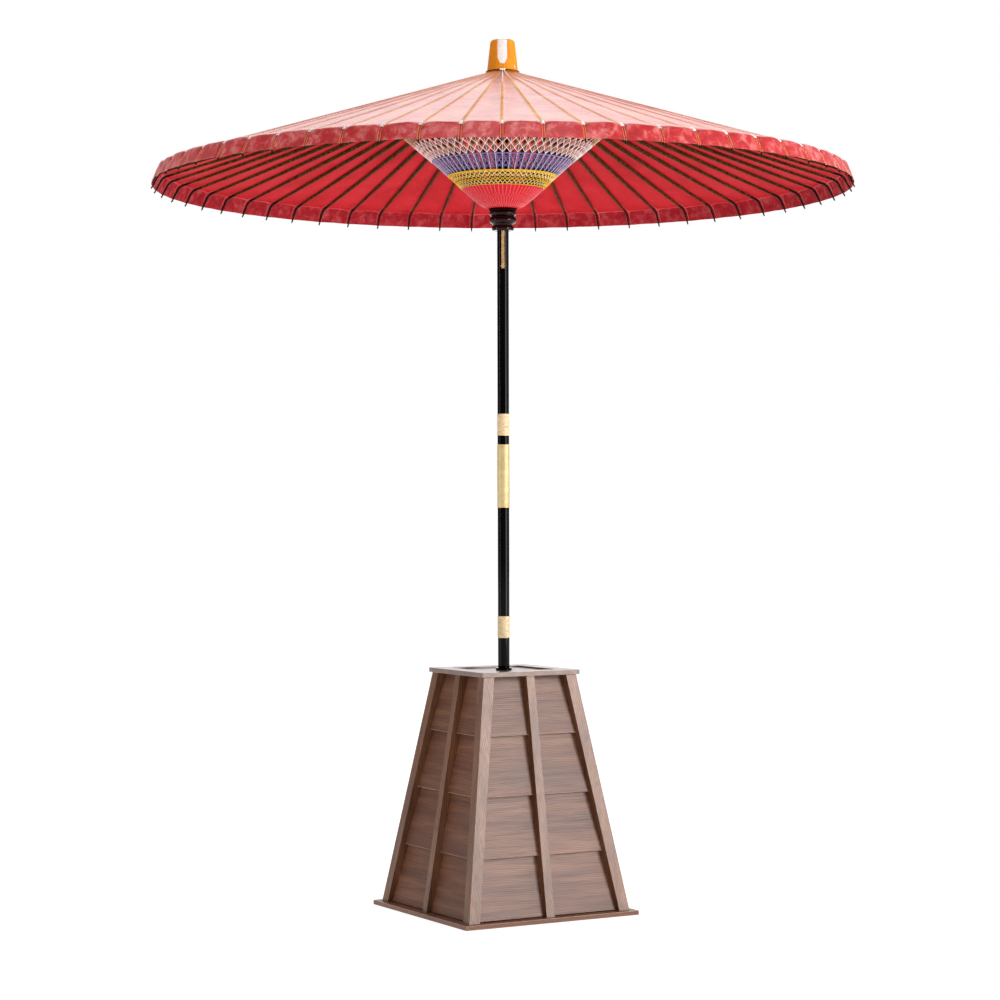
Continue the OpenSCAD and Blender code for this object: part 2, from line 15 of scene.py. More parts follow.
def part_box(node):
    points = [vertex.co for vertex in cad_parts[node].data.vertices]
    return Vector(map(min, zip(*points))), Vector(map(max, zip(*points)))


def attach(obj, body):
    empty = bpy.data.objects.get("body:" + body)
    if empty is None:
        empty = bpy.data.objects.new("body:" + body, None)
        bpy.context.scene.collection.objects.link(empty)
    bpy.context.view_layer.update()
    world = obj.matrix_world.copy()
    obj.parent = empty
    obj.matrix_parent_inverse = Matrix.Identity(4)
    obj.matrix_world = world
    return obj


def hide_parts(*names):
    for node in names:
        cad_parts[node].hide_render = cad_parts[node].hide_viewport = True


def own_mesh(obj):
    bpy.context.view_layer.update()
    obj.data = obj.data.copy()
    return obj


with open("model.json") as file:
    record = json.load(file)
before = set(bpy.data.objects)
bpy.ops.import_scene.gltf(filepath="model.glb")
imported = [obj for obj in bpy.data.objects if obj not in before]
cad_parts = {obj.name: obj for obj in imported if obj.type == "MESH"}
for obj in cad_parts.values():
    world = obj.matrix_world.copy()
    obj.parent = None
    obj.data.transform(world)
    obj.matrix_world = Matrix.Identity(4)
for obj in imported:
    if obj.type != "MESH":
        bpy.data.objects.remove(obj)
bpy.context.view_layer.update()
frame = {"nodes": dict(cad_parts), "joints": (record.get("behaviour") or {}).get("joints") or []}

# ---- sizes, most of them from the frame

JOINTS = {joint["name"]: joint for joint in frame["joints"]}
RIB_PIVOT = Vector(JOINTS["rib_01_fold"]["pos_m"])
STRUT_TOP = Vector(JOINTS["strut_01_fold"]["pos_m"])
SECTORS = 12
BAYS = 5  # bays of paper in a sector, rib to rib
BAY = tau / (SECTORS * BAYS)
FIRST_RIB = -2  # the sector's first rib, counted from its main rib
SECTOR_RIBS = range(FIRST_RIB, FIRST_RIB + BAYS)
SLOPE = atan2(RIB_PIVOT.z - STRUT_TOP.z, STRUT_TOP.x - RIB_PIVOT.x)
THREAD_R = 0.0005
STRUT_EYE_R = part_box("runner_thread")[1].x - THREAD_R
STRUT_EYE_Z = sum(corner.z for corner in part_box("runner_thread")) / 2
STRUT_RISE = atan2(STRUT_TOP.z - STRUT_EYE_Z, STRUT_TOP.x - STRUT_EYE_R)
STRUT_LEN = hypot(STRUT_TOP.z - STRUT_EYE_Z, STRUT_TOP.x - STRUT_EYE_R)

HEM_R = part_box("canopy")[1].x
HEM_RUN = 0.019
HEM_DROP = 0.035
HEM_LEN = hypot(HEM_RUN, HEM_DROP)
HEM_TURN = atan2(HEM_DROP, HEM_RUN) - SLOPE
BEND_R = HEM_R - HEM_RUN
HEM_START_R = BEND_R - 0.012  # where the roof's paper begins to turn into the hem
DOWN_ROOF = Vector((cos(SLOPE), -sin(SLOPE)))
DOWN_HEM = Vector((cos(SLOPE + HEM_TURN), -sin(SLOPE + HEM_TURN)))
PAPER_HOLE_R = 0.0375
PAPER_T = 0.0008
PAPER_LINES = {"rib": 0.0009, "ridge": 0.0007}  # how far the paper over a rib stands out
PUFF = 0.0062  # how far the hem's paper swells between ribs
SAG = 0.0016  # how far the roof's paper sags between ribs
PAPER_W = 0.0093  # the paper's outer face above the line of rib pivots
RIB_TOP = 0.008
RIB_TO_STRUT = (STRUT_TOP - RIB_PIVOT).length
RIB_TO_BEND = (BEND_R - RIB_PIVOT.x - PAPER_W * sin(SLOPE)) / cos(SLOPE)
FRONT = radians(240)  # the side of the latch and of the cap's notch

RUNNER_LOW, RUNNER_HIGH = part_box("runner")
CAP_LOW, CAP_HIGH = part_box("cap")
POLE_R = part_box("lower_pole")[1].x

# How far each part of a sector would flatten as the runner comes down, by the radius it reaches
PAPER_ZONES = [(0.128, 0.5), (0.348, 0.25), (HEM_R, 0.165)]
RIB_KEEP = 0.165
STRUT_KEEP = 0.2


def roof_z(radius):
    """Height of the paper's outer face at a radius."""
    return RIB_PIVOT.z + PAPER_W / cos(SLOPE) - (radius - RIB_PIVOT.x) * tan(SLOPE)


def around(azimuth, radius, z, aside=0.0):
    """Point at a radius and height, in or beside the plane at an azimuth."""
    x, y = cos(azimuth), sin(azimuth)
    return Vector((radius * x - aside * y, radius * y + aside * x, z))


def on_rib(azimuth, along, aside, above):
    """Point given by its distances along, beside and above a rib's pivot line."""
    radius = RIB_PIVOT.x + along * cos(SLOPE) + above * sin(SLOPE)
    z = RIB_PIVOT.z - along * sin(SLOPE) + above * cos(SLOPE)
    return around(azimuth, radius, z, aside)


def on_strut(azimuth, along, aside, above):
    """Point given by its distances along, beside and above a strut's pivot line."""
    radius = STRUT_EYE_R + along * cos(STRUT_RISE) - above * sin(STRUT_RISE)
    z = STRUT_EYE_Z + along * sin(STRUT_RISE) + above * cos(STRUT_RISE)
    return around(azimuth, radius, z, aside)


def add_object(name, data):
    """New object in the scene."""
    made = bpy.data.objects.new(name, data)
    bpy.context.scene.collection.objects.link(made)
    return made


def between(x, stops):
    """Straight-line value at x in a list of (x, value) stops."""
    return float(np.interp(x, [s[0] for s in stops], [s[1] for s in stops]))


# ---- camera, light and floor


def make_camera():
    """A long lens at chest height, a little left of the pole, as a product shot is taken."""
    azimuth, distance, height = radians(240.2), 6.552, 1.018
    aside, pitch, roll = -0.0089, radians(0.34), radians(-0.12)
    data = bpy.data.cameras.new("camera")
    data.lens, data.sensor_width = 91.3, 36
    camera = add_object("camera", data)
    camera.location = around(azimuth, distance, height, aside)
    looking = Vector((-cos(azimuth), -sin(azimuth), tan(pitch)))
    turn = looking.to_track_quat("-Z", "Y") @ Matrix.Rotation(roll, 3, "Z").to_quaternion()
    camera.rotation_mode, camera.rotation_quaternion = "QUATERNION", turn
    bpy.context.scene.camera = camera


def soft_light(name, azimuth, distance, height, size, power, aim=1.2):
    """A soft box that faces the object."""
    data = bpy.data.lights.new(name, "AREA")
    data.shape, data.size, data.size_y, data.energy = "RECTANGLE", size[0], size[1], power
    light = add_object(name, data)
    light.location = around(radians(azimuth), distance, height)
    light.rotation_mode = "QUATERNION"
    light.rotation_quaternion = (Vector((0, 0, aim)) - light.location).to_track_quat("-Z", "Y")


def make_world():
    """White to the camera, and as light brighter behind and above the object than in front."""
    world = bpy.data.worlds.new("studio")
    bpy.context.scene.world = world
    world.use_nodes = True
    nodes, links = world.node_tree.nodes, world.node_tree.links
    toward, rise = radians(60), radians(48)
    facing = nodes.new("ShaderNodeVectorMath")
    facing.operation = "DOT_PRODUCT"
    facing.inputs[1].default_value = around(toward, cos(rise), sin(rise))
    links.new(nodes.new("ShaderNodeTexCoord").outputs["Generated"], facing.inputs[0])
    level = nodes.new("ShaderNodeMapRange")
    level.interpolation_type = "SMOOTHSTEP"
    for name, value in (("From Min", 0.5), ("From Max", 0.95), ("To Min", 0.14), ("To Max", 0.9)):
        level.inputs[name].default_value = value
    links.new(facing.outputs["Value"], level.inputs["Value"])
    seen = nodes.new("ShaderNodeMix")
    seen.inputs["B"].default_value = 1.0
    links.new(nodes.new("ShaderNodeLightPath").outputs["Is Camera Ray"], seen.inputs["Factor"])
    links.new(level.outputs["Result"], seen.inputs["A"])
    links.new(seen.outputs["Result"], nodes["Background"].inputs["Strength"])
    nodes["Background"].inputs["Color"].default_value = (1, 1, 1, 1)


def make_studio():
    """White surroundings, a pale floor and soft boxes, one of them low behind the object."""
    bpy.context.scene.view_settings.view_transform = "Standard"
    make_world()
    soft_light("key_light", 297, 5.0, 2.0, (2.2, 3.2), 215)
    soft_light("left_strip", 168, 4.6, 2.0, (0.24, 3.4), 50)
    soft_light("right_strip", 330, 4.6, 2.0, (0.22, 3.4), 34)
    soft_light("top_light", 240, 2.6, 4.6, (2.6, 1.2), 38, aim=1.9)
    soft_light("back_light", 60, 3.6, 4.7, (5.0, 2.0), 50, aim=2.1)
    soft_light("low_back_light", 60, 9.0, 1.3, (6.0, 1.4), 34, aim=0.6)
    half = 30
    data = bpy.data.meshes.new("floor")
    data.from_pydata([(x * half, y * half, 0) for x, y in ((-1, -1), (1, -1), (1, 1), (-1, 1))],
                     [], [(0, 1, 2, 3)])
    floor = add_object("floor", data)
    look = Look("studio_floor")
    patches = look.noise(1.5, detail=2)
    look.colour(look.ramp(patches, [(0.3, (0.36, 0.36, 0.36)), (0.7, (0.39, 0.39, 0.39))]))
    look.set(Roughness=0.6, Specular_IOR_Level=0.1, Emission_Color=(1, 1, 1, 1),
             Emission_Strength=0.84)
    data.materials.append(look.material)


# ---- materials


class Look:
    """A material's node tree, built in short calls."""

    def __init__(self, name):
        self.material = bpy.data.materials.new(name)
        self.material.use_nodes = True
        self.tree = self.material.node_tree
        self.shader = self.tree.nodes["Principled BSDF"]
        self.place = self.add("ShaderNodeTexCoord").outputs["Object"]

    def add(self, kind, inputs=(), **settings):
        node = self.tree.nodes.new(kind)
        for key, value in settings.items():
            setattr(node, key, value)
        for key, value in dict(inputs).items():
            if isinstance(value, bpy.types.NodeSocket):
                self.tree.links.new(value, node.inputs[key])
            else:
                node.inputs[key].default_value = value
        return node

    def scaled(self, scale):
        """Object coordinates times one number, or one for each of X, Y and Z."""
        scale = scale if isinstance(scale, tuple) else (scale,) * 3
        return self.add("ShaderNodeMapping", {"Vector": self.place, "Scale": scale}).outputs[0]

    def noise(self, scale, detail=4, roughness=0.6, distortion=0.0):
        inputs = {"Vector": self.scaled(scale), "Scale": 1.0, "Detail": detail,
                  "Roughness": roughness, "Distortion": distortion}
        return self.add("ShaderNodeTexNoise", inputs).outputs["Fac"]

    def cracks(self, scale):
        """Distance to the edges of irregular cells."""
        return self.add("ShaderNodeTexVoronoi", {"Vector": self.scaled(scale), "Scale": 1.0},
                        feature="DISTANCE_TO_EDGE").outputs["Distance"]

    def math(self, operation, a, b=0.0):
        return self.add("ShaderNodeMath", {0: a, 1: b}, operation=operation).outputs[0]

    def ramp(self, factor, stops):
        """Colours, or grey levels where a stop's value is a number, along a factor."""
        node = self.add("ShaderNodeValToRGB", {"Fac": factor})
        elements = node.color_ramp.elements
        while len(elements) < len(stops):
            elements.new(0.5)
        for element, (position, value) in zip(elements, stops):
            value = value if isinstance(value, tuple) else (value,) * 3
            element.position, element.color = position, (*value, 1)
        return node.outputs["Color"]

    def mix(self, factor, a, b, blend_type="MIX"):
        return self.add("ShaderNodeMix", {0: factor, 6: a, 7: b}, data_type="RGBA",
                        blend_type=blend_type).outputs[2]

    def bump(self, height, strength, distance):
        inputs = {"Height": height, "Strength": strength, "Distance": distance}
        before = self.shader.inputs["Normal"].links
        if before:
            inputs["Normal"] = before[0].from_socket
        made = self.add("ShaderNodeBump", inputs).outputs["Normal"]
        self.tree.links.new(made, self.shader.inputs["Normal"])

    def colour(self, socket):
        self.tree.links.new(socket, self.shader.inputs["Base Color"])

    def roughness(self, pattern, low, high, stops=(0.3, 0.7)):
        """Roughness that goes from low to high with a pattern, between its two stops."""
        self.tree.links.new(self.ramp(pattern, list(zip(stops, (low, high)))),
                            self.shader.inputs["Roughness"])

    def set(self, **values):
        for key, value in values.items():
            self.shader.inputs[key.replace("_", " ")].default_value = value


def shades(codes):
    """Linear colours from hex codes of how they look on a screen."""
    levels = ([value / 255 for value in bytes.fromhex(code)] for code in codes.split())
    return [tuple(c / 12.92 if c <= 0.04045 else ((c + 0.055) / 1.055) ** 2.4 for c in level)
            for level in levels]


def wood(name, tones, along, gloss=0.4, coat=0.3, mitred=False):
    """Stained wood: growth rings as thin dark lines along the grain, pores, drifting tone."""
    look = Look(name)
    dark, middle, light = shades(tones)
    place = look.add("ShaderNodeSeparateXYZ", {0: look.place}).outputs
    across_45 = look.math("GREATER_THAN", look.math("ABSOLUTE", place[0]),
                          look.math("ABSOLUTE", place[1]))

    def streaks(axis, across, length):
        return look.noise(tuple(length if a == axis else across for a in range(3)), 5, 0.6, 0.3)

    def rings(axis):
        side = look.math("ADD", *(place[a] for a in range(3) if a != axis))
        wander = look.math("MULTIPLY", streaks(axis, 7, 1.6), 9.0)
        return look.math("FRACT", look.math("ADD", look.math("MULTIPLY", side, 190.0), wander))

    def grain(pattern, *values):
        made = pattern(along, *values)
        return look.mix(across_45, made, pattern(1 - along, *values)) if mitred else made

    coarse, fine = grain(streaks, 34, 2.0), grain(streaks, 300, 9)
    ring = look.ramp(grain(rings),
                     [(0.0, 0.4), (0.2, 0.95), (0.5, 1.08), (0.84, 0.95), (1.0, 0.4)])
    figure = look.ramp(coarse, [(0.2, dark), (0.5, middle), (0.8, light)])
    pores = look.ramp(fine, [(0.34, 0.62), (0.5, 1.0)])
    tone = look.ramp(look.noise((3.1, 3.1, 5.3), 2), [(0.3, 0.88), (0.72, 1.1)])
    stained = look.mix(0.8, look.mix(0.95, figure, ring, "MULTIPLY"), pores, "MULTIPLY")
    look.colour(look.mix(1.0, stained, tone, "MULTIPLY"))
    look.roughness(fine, gloss + 0.16, gloss)
    look.bump(ring, 0.25, 0.0008)
    look.bump(fine, 0.25, 0.0004)
    look.set(Coat_Weight=coat, Coat_Roughness=0.35)
    return look.material


def lacquer(name, tones, gloss, level=0.25):
    """Brushed-on lacquer with a slow ripple, fine dust and faint streaks."""
    look = Look(name)
    deep, tint = shades(tones)
    cloudy = look.noise((16, 16, 5), 3)
    look.colour(look.ramp(cloudy, [(0.35, deep), (0.75, tint)]))
    look.roughness(look.noise(900, 2), gloss, gloss + 0.07, (0.4, 0.75))
    look.bump(look.noise((35, 35, 9), 2), 0.05, 0.001)
    look.set(Specular_IOR_Level=level)
    return look.material


def metal(name, tones, gloss, brushed=(30, 30, 1500), metallic=1.0):
    """Brushed metal with a little tarnish."""
    look = Look(name)
    dark, light = shades(tones)
    lines = look.noise(brushed, 4)
    tarnish = look.noise(40, 5)
    look.colour(look.ramp(tarnish, [(0.3, dark), (0.6, light)]))
    look.roughness(lines, gloss, gloss + 0.15)
    look.bump(lines, 0.15, 0.0003)
    look.set(Metallic=metallic)
    return look.material


def oiled_paper(name, tones, gloss, coat=0.0, level=0.5, crease=0.3, patch=9):
    """Oiled handmade paper: fibres, brush marks, patches where the oil is thin, and creases with
    painted shade in them.
    """
    look = Look(name)
    deep, middle, pale = shades(tones)
    patches = look.noise(patch, 5, 0.6, 0.4)
    fibres = look.noise(240, 3, 0.7, 1.2)
    cracks = look.cracks(15)
    base = look.ramp(patches, [(0.3, deep), (0.48, middle), (0.72, pale)])
    flecks = look.ramp(fibres, [(0.35, 0.86), (0.62, 1.1)])
    # Darker along the crease lines: painted shade in the creases
    crease_shade = look.ramp(cracks, [(0.0, 0.78), (0.03, 1.0)])
    look.colour(look.mix(crease, look.mix(1.0, base, flecks, "MULTIPLY"), crease_shade, "MULTIPLY"))
    look.roughness(fibres, gloss + 0.12, gloss)
    look.bump(look.noise(28, 5, 0.55, 0.8), crease, 0.004)
    look.bump(look.ramp(cracks, [(0.0, 0.0), (0.05, 1.0)]), 0.25 * crease, 0.0012)
    look.bump(fibres, 0.2, 0.0003)
    look.set(Coat_Weight=coat, Coat_Roughness=0.3, Specular_IOR_Level=level)
    return look.material


def bamboo(name, tones, gloss=0.45, coat=0.1, level=0.5):
    """Split bamboo: long fibres in darker and lighter bundles, with a dull wax."""
    look = Look(name)
    dark, middle, light = shades(tones)
    bundles = look.noise(130, 4, 0.6, 0.2)
    fibres = look.noise(520, 3)
    tone = look.ramp(bundles, [(0.3, dark), (0.5, middle), (0.72, light)])
    look.colour(look.mix(0.5, tone, look.ramp(fibres, [(0.3, 0.6), (0.65, 1.1)]), "MULTIPLY"))
    look.roughness(bundles, gloss, gloss + 0.15)
    look.bump(fibres, 0.3, 0.0003)
    look.set(Coat_Weight=coat, Coat_Roughness=0.3, Specular_IOR_Level=level)
    return look.material


def thread(name, tones):
    """Twisted cotton or silk thread, with soft fuzz."""
    look = Look(name)
    dark, light = shades(tones)
    strands = look.noise(700, 2)
    look.colour(look.ramp(strands, [(0.3, dark), (0.65, light)]))
    look.roughness(strands, 0.8, 0.65)
    look.bump(strands, 0.4, 0.0003)
    look.set(Sheen_Weight=0.1, Sheen_Roughness=0.4, Specular_IOR_Level=0.2)
    return look.material


def rattan():
    """Split rattan, cream with tan in streaks."""
    look = Look("split_rattan")
    strands = look.noise((90, 90, 420), 4)
    look.colour(look.ramp(strands, list(zip((0.3, 0.5, 0.75), shades("c09c68 e4cc9e f2e2c0")))))
    look.roughness(strands, 0.5, 0.36)
    look.bump(strands, 0.3, 0.0004)
    look.set(Coat_Weight=0.25, Coat_Roughness=0.25)
    return look.material


# ---- mesh building


class Shape:
    """Points and faces gathered for one mesh. Each face keeps the number of its material."""

    def __init__(self):
        self.points, self.faces, self.looks = [], [], []

    def add(self, points, faces, look):
        start = len(self.points)
        self.points += [tuple(p) for p in points]
        self.faces += [[start + i for i in face] for face in faces]
        self.looks += list(look) if isinstance(look, (list, tuple)) else [look] * len(faces)

    def loft(self, sections, look=0, closed=False):
        """Skin over rings that all have the same number of points."""
        count = len(sections[0])
        rings = len(sections)
        faces = [[i % rings * count + j, i % rings * count + (j + 1) % count,
                  (i + 1) % rings * count + (j + 1) % count, (i + 1) % rings * count + j]
                 for i in range(rings if closed else rings - 1) for j in range(count)]
        if not closed:
            faces += [list(range(count))[::-1], [(rings - 1) * count + j for j in range(count)]]
        self.add([p for section in sections for p in section], faces, look)

    def shell(self, outer, inner, look_out, look_in, look_rim):
        """Closed shell of two grids of rows; the looks inside it depend on row and column."""
        wide, tall = len(outer[0]), len(outer)
        total = wide * tall
        faces, looks = [], []
        for i in range(tall - 1):
            for j in range(wide - 1):
                quad = [i * wide + j, (i + 1) * wide + j, (i + 1) * wide + j + 1, i * wide + j + 1]
                faces += [quad, [total + k for k in reversed(quad)]]
                looks += [look_out(i, j), look_in(i, j)]
        rim = [i * wide for i in range(tall)] + [(tall - 1) * wide + j for j in range(1, wide)]
        rim += [i * wide + wide - 1 for i in range(tall - 2, -1, -1)]
        rim += range(wide - 2, 0, -1)
        for a, b in zip(rim, rim[1:] + rim[:1]):
            faces.append([a, total + a, total + b, b])
            looks.append(look_rim)
        self.add([p for row in outer + inner for p in row], faces, looks)

    def tube(self, path, radius, sides, look, closed=False):
        """Round tube along a path of points."""
        sections = []
        side = None
        for i, point in enumerate(path):
            before = path[i - 1] if i or closed else point
            after = path[(i + 1) % len(path)] if i + 1 < len(path) or closed else point
            forward = (after - before).normalized()
            if side is None:
                side = forward.orthogonal().normalized()
            side = (side - forward * side.dot(forward)).normalized()
            up = forward.cross(side)
            sections.append([point + radius * (cos(a) * side + sin(a) * up)
                             for a in circle(sides)])
        self.loft(sections, look, closed)

    def piece(self, name, looks, sharp=40):
        """The mesh as an object, smooth except where its faces meet at a sharp angle."""
        data = bpy.data.meshes.new(name)
        data.from_pydata(self.points, [], self.faces)
        for look in looks:
            data.materials.append(look)
        data.polygons.foreach_set("material_index", self.looks)
        bm = bmesh.new()
        bm.from_mesh(data)
        bmesh.ops.recalc_face_normals(bm, faces=bm.faces)
        bm.to_mesh(data)
        bm.free()
        data.shade_smooth()
        data.set_sharp_from_angle(angle=radians(sharp))
        return add_object(name, data)


def circle(count):
    """Azimuths at even steps round the pole."""
    return [tau * i / count for i in range(count)]


def place(piece, body, slot, replaced=()):
    """The calls that every piece needs."""
    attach(piece, body)
    if replaced:
        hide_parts(*replaced)
    return piece


def fold(piece):
    """Gives a sector's piece its own copy of its mesh."""
    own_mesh(piece)


def numbered(kind, sector):
    """Name of a sector's body or piece."""
    return f"{kind}_{sector + 1:02d}"


def rib_azimuth(sector, rib):
    """Azimuth of a sector's rib, counted from its main rib."""
    return (sector * BAYS + rib) * BAY


def in_order(names):
    """Place of each look among a piece's materials."""
    return {name: i for i, name in enumerate(names.split())}


# ---- canopy paper


def roof_radii():
    """Radii of the paper's rows, closer together at the hub, the zone edges and the bend."""
    edges = [PAPER_HOLE_R] + [radius for radius, _ in PAPER_ZONES[:-1]] + [HEM_START_R]
    return [[inner + (outer - inner) * i / count for i in range(count + 1)]
            for inner, outer, count in zip(edges, edges[1:], (5, 9, 20))]


def bend_points(sharpness):
    """Points round the bend and down the hem, each with its normal, in a rib's plane.

    The paper turns sharply between ribs (sharpness 1) and softly over them (0)."""
    reach = 0.014 - 0.009 * sharpness
    corner = Vector((BEND_R, roof_z(BEND_R)))
    start, end = corner - reach * DOWN_ROOF, corner + reach * DOWN_HEM
    made = []
    for i in range(7):
        t = i / 6
        point = (1 - t) ** 2 * start + 2 * t * (1 - t) * corner + t * t * end
        heading = DOWN_ROOF.lerp(DOWN_HEM, t).normalized()
        made.append((point, Vector((-heading.y, heading.x))))
    for i in range(1, 7):
        along = reach + (HEM_LEN - reach) * i / 6
        made.append((corner + along * DOWN_HEM, Vector((-DOWN_HEM.y, DOWN_HEM.x))))
    return made


BAY_SHARES = (0.035, 0.09, 0.17, 0.3, 0.5, 0.7, 0.83, 0.91, 0.965)


def bay_columns():
    """Columns of a sector's paper: (rib on the left, kind, share of the way across the bay)."""
    columns = []
    for bay in range(BAYS):
        columns += [(bay, "rib", 0), (bay, "ridge", 1), (bay, "foot", 1)]
        columns += [(bay, "open", share) for share in BAY_SHARES]
        columns += [(bay + 1, "foot", -1), (bay + 1, "ridge", -1)]
    return columns + [(BAYS, "rib", 0)]


def ridge_half(radius):
    """Half the width of the line that a rib's back makes in the paper."""
    widths = [(0.05, 0.0022), (0.3, 0.0033), (0.85, 0.004), (BEND_R, 0.005)]
    return min(between(radius, widths), 0.2 * radius * BAY)


def paper_angle(column, radius):
    """A column's angle from the sector's first rib, at a radius."""
    rib, kind, share = column
    ridge = ridge_half(radius) / radius
    foot = ridge + min(0.0014, 0.12 * radius * BAY) / radius
    if kind == "open":
        return rib * BAY + foot + share * (BAY - 2 * foot)
    return rib * BAY + {"rib": 0, "ridge": ridge, "foot": foot}[kind] * share


def paper_lift(column, angle, radius, hem):
    """How far the paper stands out of the plain cone, along its normal."""
    if column[1] in PAPER_LINES:
        return PAPER_LINES[column[1]]
    across = 2 * (angle % BAY) / BAY - 1
    slack = 1 - across * across
    puff = PUFF * (1 - across ** 6)
    spot = around(angle, radius, 0)
    ripple = 0.0007 * noise.noise(spot * 9) + 0.0004 * noise.noise(spot * 31)
    ripple += 0.0011 * noise.noise(spot * 23) * between(radius, [(0.6, 0), (0.84, 1)])
    if hem:
        fade = between(radius, [(HEM_START_R, 0.72), (BEND_R, 1), (HEM_R, 0.2)])
        return puff * fade + 2 * ripple * slack
    sag = -SAG * slack * between(radius, [(0.05, 0), (0.5, 1), (0.8, 0.8), (0.84, 0)])
    return sag + ripple * slack + puff * between(radius, [(0.8, 0), (BEND_R, 0.92)]) ** 2


def paper_point(sector, column, radius, z, normal, hem):
    """A point of the paper's outer face, with its outward normal."""
    angle = paper_angle(column, radius)
    bay_middle = (angle % BAY) - BAY / 2
    chord = cos(BAY / 2) / cos(bay_middle) if column[1] == "open" else 1.0
    lift = paper_lift(column, angle, radius, hem)
    azimuth = rib_azimuth(sector, FIRST_RIB) + angle
    point = around(azimuth, radius * chord + lift * normal.x, z + lift * normal.y)
    return point, around(azimuth, normal.x, normal.y)


PAPER_LOOKS = in_order("top rib_line hem hem_rib under glue hem_inside")


def paper_sector(sector, zone, looks):
    """One zone of a sector's paper, as a thin shell with its own looks above and below."""
    columns, radii, with_hem = bay_columns(), roof_radii()[zone], zone == len(PAPER_ZONES) - 1
    normal = Vector((-DOWN_ROOF.y, DOWN_ROOF.x))
    rows = [[paper_point(sector, c, radius, roof_z(radius), normal, False) for c in columns]
            for radius in radii]
    if with_hem:
        for soft, crisp in zip(bend_points(0), bend_points(1)):
            row = []
            for column in columns:
                across = 2 * column[2] - 1
                share = 1 - across ** 4 if column[1] == "open" else 0.0
                point = soft[0].lerp(crisp[0], share)
                out = soft[1].lerp(crisp[1], share).normalized()
                row.append(paper_point(sector, column, point.x, point.y, out, True))
            rows.append(row)
    outer = [[point for point, _ in row] for row in rows]
    inner = [[point - PAPER_T * out for point, out in row] for row in rows]
    bend_rows = len(radii) + 3

    def above(i, j):
        on_rib_line = "rib" in (columns[j][1], columns[j + 1][1])
        names = ("rib_line", "top") if i < bend_rows else ("hem_rib", "hem")
        return PAPER_LOOKS[names[0] if on_rib_line else names[1]]

    def below(i, j):
        # Paler paper in the glued strips beside each rib and in the row at the inner bend: painted
        # highlights
        if {columns[j][1], columns[j + 1][1]} == {"ridge", "foot"} or i == bend_rows - 1:
            return PAPER_LOOKS["glue"]
        return PAPER_LOOKS["under" if i < bend_rows else "hem_inside"]

    shape = Shape()
    shape.shell(outer, inner, above, below, PAPER_LOOKS["hem" if with_hem else "under"])
    piece = shape.piece(f"{numbered('canopy_paper', sector)}_{'abc'[zone]}",
                        [looks[name] for name in PAPER_LOOKS], sharp=60)
    place(piece, numbered("rib", sector), "red_paper", ["canopy"])
    fold(piece)
    inner_slant = radii[0] / cos(SLOPE)
    outer_slant = (BEND_R if with_hem else radii[-1]) / cos(SLOPE)
    spread = BAYS * BAY * cos(SLOPE)
    area = spread * (outer_slant ** 2 - inner_slant ** 2) / 2
    flat = [2 * outer_slant * sin(spread / 2), outer_slant - inner_slant]
    if with_hem:
        area += BAYS * BAY * (BEND_R + HEM_R) / 2 * HEM_LEN
        flat = [BAYS * BAY * HEM_R, flat[1] + HEM_LEN]


# ---- ribs and struts

SLOT_HALF = 0.0016  # half the width of a rib's slot for its strut
RIB_GROOVE = 0.00012  # depth of the groove along a rib's underside
BEND_SWING = 0.03  # radius of the bend in a rib's tip


def bar_section(place_point, half, top, bottom, groove, groove_half, soft=0.22):
    """Cross-section of a rib: soft corners, and a groove along its underside."""
    corner = soft * min(half, (top - bottom) / 2)
    outline = [(-half + corner, top), (-half, top - corner), (-half, bottom + 1.6 * corner),
               (-half + 1.2 * corner, bottom), (-groove_half, bottom),
               (-groove_half, bottom + groove)]
    outline += [(-aside, above) for aside, above in reversed(outline)]
    return [place_point(aside, above) for aside, above in outline]


RIB_SLOT = (RIB_TO_STRUT - 0.007, RIB_TO_STRUT + 0.059)  # where a rib's slot starts and ends
RIB_NODES = (0.452, 0.731)  # distances along a rib to the bamboo's nodes
# Distances along a rib, with more of them where its outline changes
RIB_STATIONS = sorted([-0.0033, -0.0025, 0, 0.008, 0.016, 0.06, 0.12, 0.2, 0.28, 0.416, 0.52, 0.6,
                       0.68, 0.78, 0.83, 0.86, RIB_SLOT[0] - 0.0004, *RIB_SLOT,
                       RIB_SLOT[1] + 0.0004] +
                      [node + step for node in RIB_NODES
                       for step in (-0.005, -0.0012, 0, 0.0012, 0.005)])
RIB_HALF_WIDTH = [(-0.0034, 0.0008), (0, 0.0008), (0.016, 0.0009), (0.28, 0.00325),
                  (0.52, 0.00325), (0.889, 0.002)]
RIB_UPPER = [(-0.0034, 0.0006), (-0.0025, 0.0023), (0, 0.0034), (0.016, RIB_TOP),
             (1.0, RIB_TOP)]
RIB_LOWER = [(-0.0034, -0.0006), (-0.0025, -0.0023), (0, -0.0034), (0.016, -0.0025),
             (0.312, -0.0022), (0.416, -0.0017), (0.884, 0.003)]


